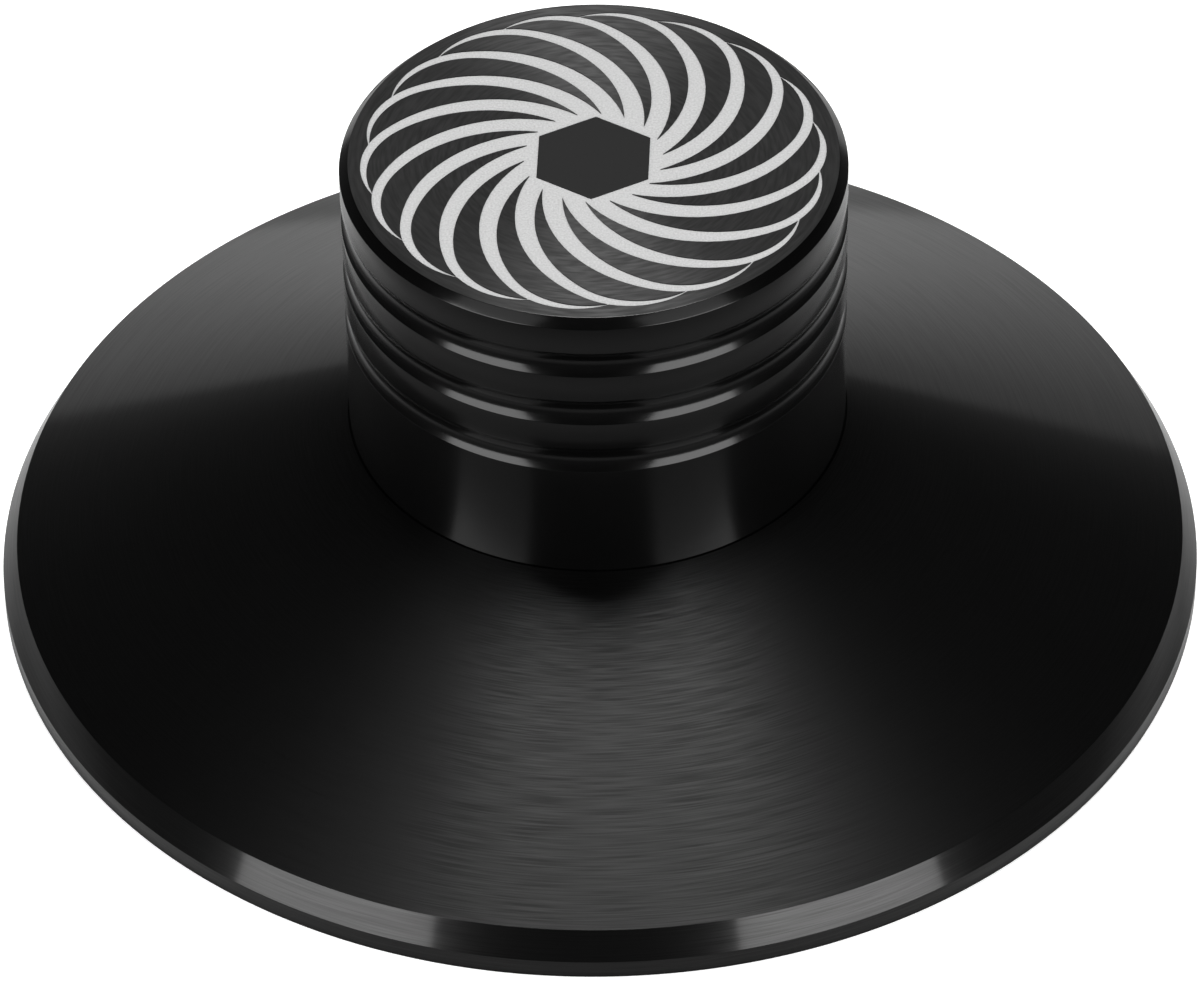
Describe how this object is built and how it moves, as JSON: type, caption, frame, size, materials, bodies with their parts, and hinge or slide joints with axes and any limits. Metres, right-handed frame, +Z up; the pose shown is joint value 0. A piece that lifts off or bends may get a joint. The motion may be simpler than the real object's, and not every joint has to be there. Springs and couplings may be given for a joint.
{
  "type": "record weight clamp",
  "caption": "Turntable record weight turned in one piece: wide conical foot, grooved grip knob with an engraved swirl on top, and a blind spindle hole in the base.",
  "frame": {"origin": "middle of the base, on the plane that rests on the record", "axes": "+Z up along the spindle hole; the hexagon in the top face has its corners along Y"},
  "size_m": [0.078, 0.078, 0.0336],
  "materials": {
    "black_anodised": "black anodised, satin, with fine turning lines",
    "engraved_bare": "bare metal laid open by the engraving, matt and finely grained"
  },
  "bodies": {
    "root": {"weight_body": "black_anodised"}
  },
  "joints": []
}
